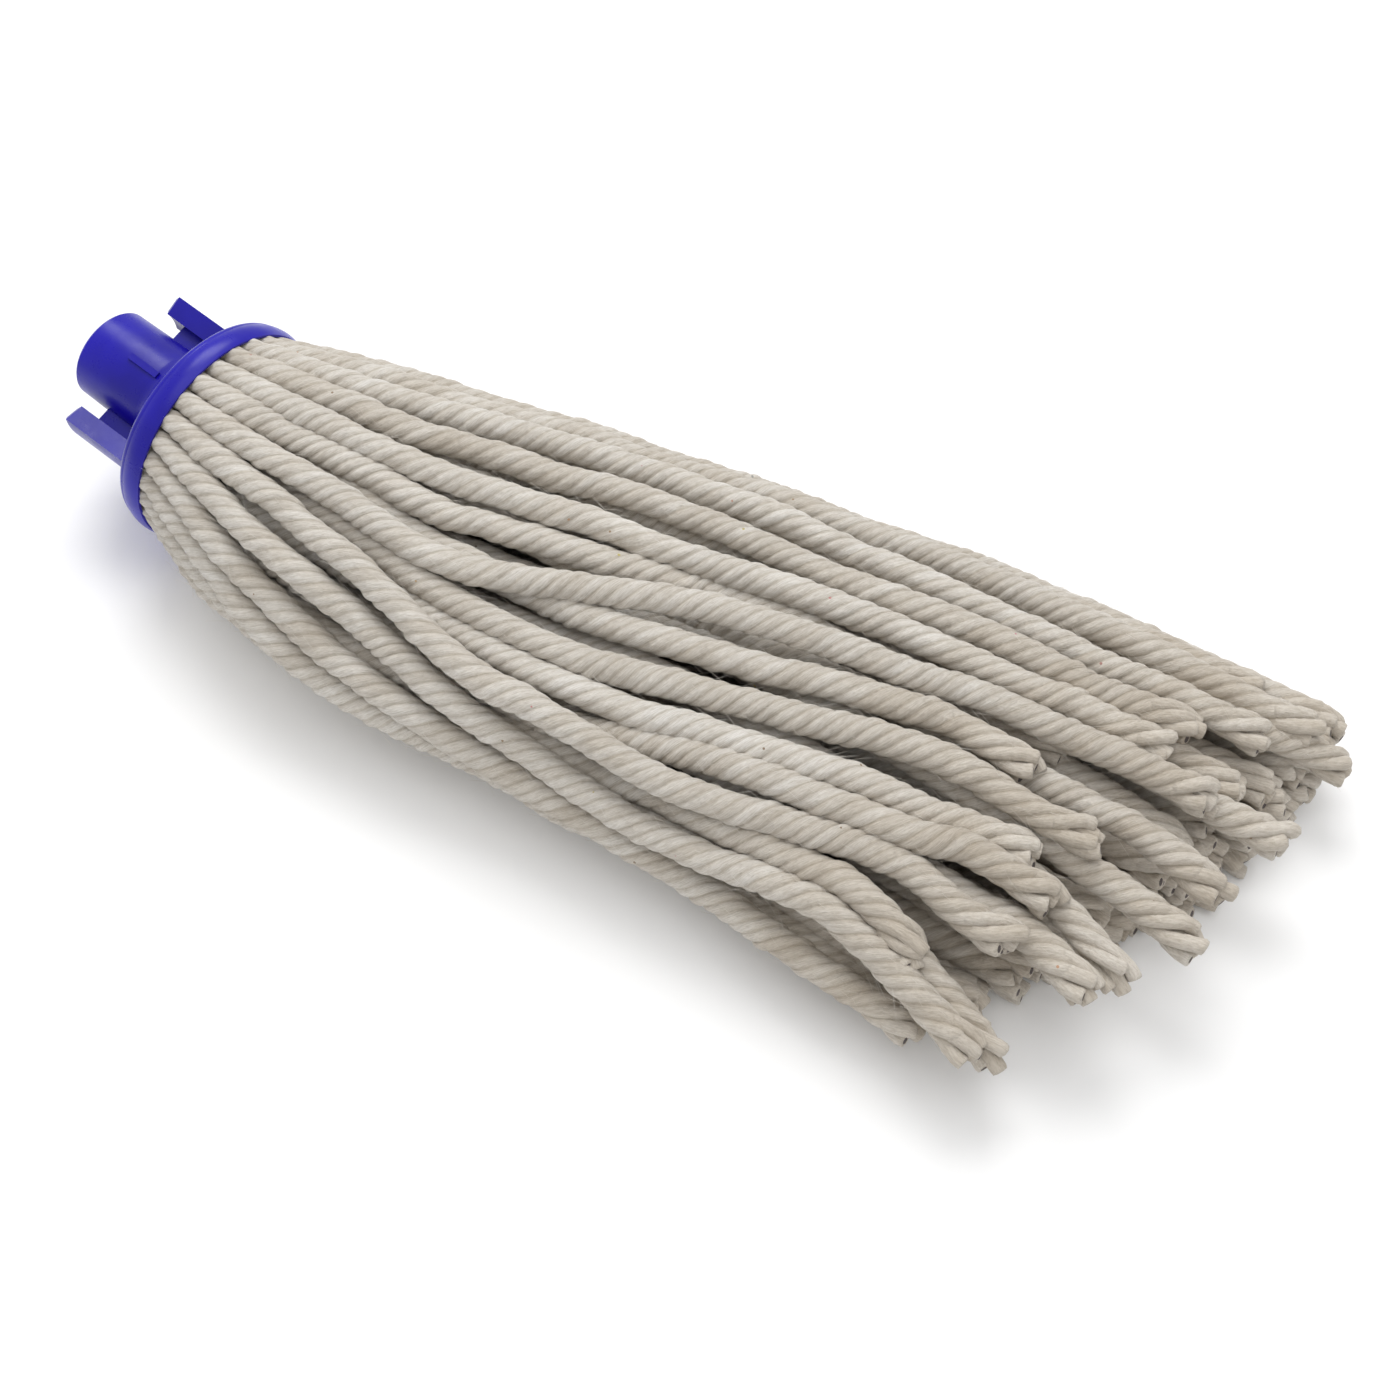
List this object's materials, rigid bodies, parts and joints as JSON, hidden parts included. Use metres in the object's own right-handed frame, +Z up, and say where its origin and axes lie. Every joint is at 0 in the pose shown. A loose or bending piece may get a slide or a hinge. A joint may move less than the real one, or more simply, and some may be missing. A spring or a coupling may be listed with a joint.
{
  "type": "string mop head",
  "caption": "Wet mop head of looped, twisted cotton strands clamped in a round moulded cap with a push-in handle socket and two claw lugs; lies on its side with the strands fanned out.",
  "frame": {"origin": "On the surface the mop head lies on, under the middle of the box round the cap and what is fixed in it.", "axes": "+Z is up. +X runs along the strands, from the cap to their cut ends. +Y is across, on the side of the claw lug that sits higher. The handle socket points along -X, tipped up by 10 degrees."},
  "size_m": [0.3966, 0.1711, 0.076],
  "materials": {
    "cap": "glossy royal blue moulding",
    "yarn": "natural off-white twisted cotton",
    "plug": "matt blue moulding",
    "steel": "plain zinc-plated steel"
  },
  "bodies": {
    "root": {"socket_cap": "cap", "yarn_fold": "yarn", "clamp_plug": "plug", "screw_washer": "steel", "clamp_screw": "steel", "yarn_01": "yarn", "yarn_02": "yarn", "yarn_03": "yarn", "yarn_04": "yarn", "yarn_05": "yarn", "yarn_06": "yarn", "yarn_07": "yarn", "yarn_08": "yarn", "yarn_09": "yarn", "yarn_10": "yarn", "yarn_11": "yarn", "yarn_12": "yarn", "yarn_13": "yarn", "yarn_14": "yarn", "yarn_15": "yarn", "yarn_16": "yarn", "yarn_17": "yarn", "yarn_18": "yarn", "yarn_19": "yarn", "yarn_20": "yarn", "yarn_21": "yarn", "yarn_22": "yarn", "yarn_23": "yarn", "yarn_24": "yarn", "yarn_25": "yarn", "yarn_26": "yarn", "yarn_27": "yarn", "yarn_28": "yarn", "yarn_29": "yarn", "yarn_30": "yarn", "yarn_31": "yarn", "yarn_32": "yarn", "yarn_33": "yarn", "yarn_34": "yarn", "yarn_35": "yarn", "yarn_36": "yarn", "yarn_37": "yarn", "yarn_38": "yarn", "yarn_39": "yarn", "yarn_40": "yarn", "inner_yarn_a": "yarn", "inner_yarn_b": "yarn", "inner_yarn_c": "yarn", "inner_yarn_d": "yarn", "inner_yarn_e": "yarn", "inner_yarn_f": "yarn", "inner_yarn_g": "yarn", "inner_yarn_h": "yarn", "inner_yarn_i": "yarn", "inner_yarn_j": "yarn", "inner_yarn_k": "yarn", "inner_yarn_l": "yarn"}
  },
  "joints": []
}
